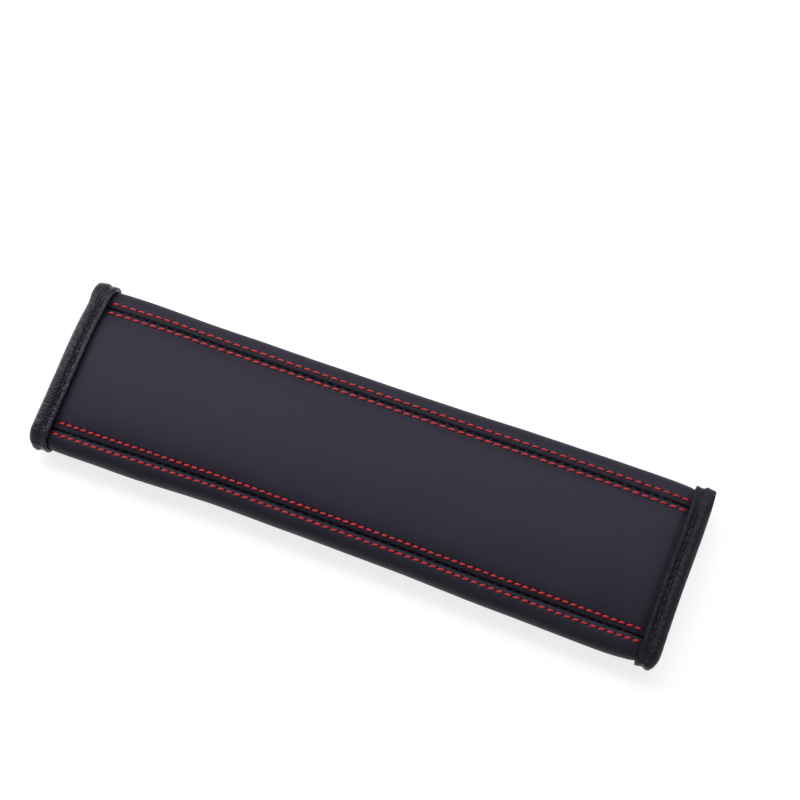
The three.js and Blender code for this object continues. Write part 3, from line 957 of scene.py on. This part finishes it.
class PAD_OT_stage(bpy.types.Operator):
    """Sets the pale floor, the soft lamps and the camera"""

    bl_idname = "pad.stage"
    bl_label = "Stage"

    def execute(self, context):
        stage = context.scene.pad_stage
        self.make_camera(context.scene, stage)
        self.make_floor(stage)
        self.make_world(context.scene, stage)
        self.make_lamp("overhead_lamp", Vector((-0.13, 0.45, 0.80)), (1.1, 0.7), stage.overhead_power)
        self.make_lamp("left_lamp", Vector((-0.75, 0.20, 0.35)), (0.4, 0.4), stage.left_power)
        self.make_lamp("small_lamp", Vector((-0.42, 0.28, 0.84)), (0.10, 0.10), stage.small_power)
        context.scene.view_settings.view_transform = "Standard"
        return {"FINISHED"}

    def make_camera(self, scene, stage):
        """The photograph's viewpoint."""
        data = bpy.data.cameras.new("camera")
        data.lens = stage.lens
        camera = bpy.data.objects.new("camera", data)
        scene.collection.objects.link(camera)
        around, up = stage.azimuth, stage.elevation
        sight = Vector((
            -math.sin(around) * math.cos(up), math.cos(around) * math.cos(up), -math.sin(up)
        ))
        target = Vector((stage.target_x, stage.target_y, 0))
        right = sight.cross(Vector((0, 0, 1))).normalized()
        top = right.cross(sight)
        tilted_right = math.cos(stage.roll) * right + math.sin(stage.roll) * top
        tilted_top = -math.sin(stage.roll) * right + math.cos(stage.roll) * top
        turn = Matrix((tilted_right, tilted_top, -sight)).transposed().to_4x4()
        camera.matrix_world = Matrix.Translation(target - sight * stage.distance) @ turn
        scene.camera = camera

    def background(self, tree, plain, seen):
        """One strength for plain light and another for rays that see or mirror the background."""
        path = node(tree, "ShaderNodeLightPath")
        first = node(tree, "ShaderNodeMath", operation="MAXIMUM")
        second = node(tree, "ShaderNodeMath", operation="MAXIMUM")
        tree.links.new(path.outputs["Is Camera Ray"], first.inputs[0])
        tree.links.new(path.outputs["Is Glossy Ray"], first.inputs[1])
        tree.links.new(first.outputs[0], second.inputs[0])
        tree.links.new(path.outputs["Is Transmission Ray"], second.inputs[1])
        return ramp(tree, second.outputs[0], 0, 1, plain, seen)

    def make_world(self, scene, stage):
        """White where it is seen, and a plain soft light on the object."""
        world = bpy.data.worlds.new("world")
        world.use_nodes = True
        tree = world.node_tree
        shade = tree.nodes["Background"]
        shade.inputs["Color"].default_value = (1, 1, 1, 1)
        tree.links.new(self.background(tree, stage.ambient, 1), shade.inputs["Strength"])
        scene.world = world

    def make_floor(self, stage):
        """A wide white sheet that keeps the object's shadow."""
        body = bmesh.new()
        bmesh.ops.create_grid(body, x_segments=1, y_segments=1, size=6.0)
        floor = finished("floor", body, False)
        floor.location.z = -0.0001
        material, tree, shader = new_material("floor_paper", (0.4, 0.4, 0.4), 0.9, 0.0)
        glow = node(tree, "ShaderNodeEmission")
        glow.inputs["Color"].default_value = (1, 1, 1, 1)
        tree.links.new(self.background(tree, 0, stage.floor_glow), glow.inputs["Strength"])
        both = node(tree, "ShaderNodeAddShader")
        tree.links.new(shader.outputs["BSDF"], both.inputs[0])
        tree.links.new(glow.outputs["Emission"], both.inputs[1])
        tree.links.new(both.outputs[0], tree.nodes["Material Output"].inputs["Surface"])
        floor.data.materials.append(material)

    def make_lamp(self, name, spot, sides, power):
        """A soft lamp of slightly cool light that faces the object."""
        data = bpy.data.lights.new(name, "AREA")
        data.shape = "RECTANGLE"
        data.size, data.size_y = sides
        data.energy = power
        data.color = (0.93, 0.89, 1.0)
        lamp = bpy.data.objects.new(name, data)
        bpy.context.scene.collection.objects.link(lamp)
        lamp.location = spot
        lamp.rotation_euler = (-spot).to_track_quat("-Z", "Y").to_euler()


# Settings

class LeatherSettings(bpy.types.PropertyGroup):
    colour: FloatVectorProperty(
        name="Colour", description="Colour of the leather", subtype="COLOR",
        default=(0.0180, 0.0164, 0.0250),
    )
    roughness: FloatProperty(
        name="Roughness", description="How matt the leather is", default=0.46, subtype="FACTOR",
    )
    left_end_fall: FloatProperty(
        name="Left End Fall", description="How far the left binding presses the padding flat",
        default=1.5 * MM, unit="LENGTH", precision=4,
    )
    right_end_fall: FloatProperty(
        name="Right End Fall", description="How far the right binding presses the padding flat",
        default=1.0 * MM, unit="LENGTH", precision=4,
    )


class ThreadSettings(bpy.types.PropertyGroup):
    colour: FloatVectorProperty(
        name="Colour", description="Colour of the topstitching", subtype="COLOR",
        default=(0.90, 0.023, 0.043),
    )
    width: FloatProperty(
        name="Width", description="Width of a stitch", default=0.77 * MM, unit="LENGTH", precision=4,
    )
    near_tilt: FloatProperty(
        name="Near Tilt", description="Slant of the near rows' stitches",
        default=math.radians(9), subtype="ANGLE",
    )
    far_tilt: FloatProperty(
        name="Far Tilt", description="Slant of the far rows' stitches",
        default=math.radians(7), subtype="ANGLE",
    )


class BindingSettings(bpy.types.PropertyGroup):
    colour: FloatVectorProperty(
        name="Colour", description="Colour of the binding tape", subtype="COLOR",
        default=(0.0050, 0.0045, 0.0070),
    )


class StageSettings(bpy.types.PropertyGroup):
    lens: FloatProperty(name="Lens", description="Focal length", default=72.56, unit="CAMERA")
    azimuth: FloatProperty(
        name="Azimuth", description="Turn of the view round the pad",
        default=math.radians(22.75), subtype="ANGLE",
    )
    elevation: FloatProperty(
        name="Elevation", description="Height of the view over the floor",
        default=math.radians(66.8), subtype="ANGLE",
    )
    roll: FloatProperty(
        name="Roll", description="Lean of the view", default=math.radians(-2.04), subtype="ANGLE",
    )
    distance: FloatProperty(
        name="Distance", description="From the camera to its target", default=0.5802, unit="LENGTH",
    )
    target_x: FloatProperty(
        name="Target X", description="Place along the pad that the camera looks at", default=0.0,
        unit="LENGTH",
    )
    target_y: FloatProperty(
        name="Target Y", description="Place across the pad that the camera looks at", default=0.0326,
        unit="LENGTH",
    )
    ambient: FloatProperty(name="Ambient", description="Plain light from all round", default=0.2)
    floor_glow: FloatProperty(name="Floor Glow", description="Lifts the seen floor to white", default=0.78)
    overhead_power: FloatProperty(
        name="Overhead Lamp", description="Power of the overhead lamp", default=7.2, unit="POWER",
    )
    left_power: FloatProperty(
        name="Left Lamp", description="Power of the left lamp", default=2.0, unit="POWER",
    )
    small_power: FloatProperty(
        name="Small Lamp", description="Power of the small lamp", default=0.8, unit="POWER",
    )


OPERATORS = (
    PAD_OT_centre_panel,
    PAD_OT_side_panels,
    PAD_OT_padding,
    PAD_OT_closure,
    PAD_OT_end_bindings,
    PAD_OT_topstitching,
    PAD_OT_black_threads,
    PAD_OT_stage,
)


class PAD_PT_sidebar(bpy.types.Panel):
    """Lists the steps that dress the pad"""

    bl_idname = "PAD_PT_sidebar"
    bl_label = "Belt Pad"
    bl_space_type = "VIEW_3D"
    bl_region_type = "UI"
    bl_category = "Belt Pad"

    def draw(self, context):
        for operator in OPERATORS:
            self.layout.operator(operator.bl_idname)


SETTINGS = {
    "pad_leather": LeatherSettings,
    "pad_thread": ThreadSettings,
    "pad_binding": BindingSettings,
    "pad_stage": StageSettings,
}


def register():
    for kind in (*SETTINGS.values(), *OPERATORS, PAD_PT_sidebar):
        bpy.utils.register_class(kind)
    for name, kind in SETTINGS.items():
        setattr(bpy.types.Scene, name, PointerProperty(type=kind))


def unregister():
    for name in SETTINGS:
        delattr(bpy.types.Scene, name)
    for kind in reversed((*SETTINGS.values(), *OPERATORS, PAD_PT_sidebar)):
        bpy.utils.unregister_class(kind)


def main():
    register()
    bpy.ops.pad.stage()
    bpy.ops.pad.centre_panel()
    bpy.ops.pad.side_panels()
    bpy.ops.pad.padding()
    bpy.ops.pad.closure()
    bpy.ops.pad.end_bindings()
    bpy.ops.pad.topstitching()
    bpy.ops.pad.black_threads()


if __name__ == "__main__":
    main()
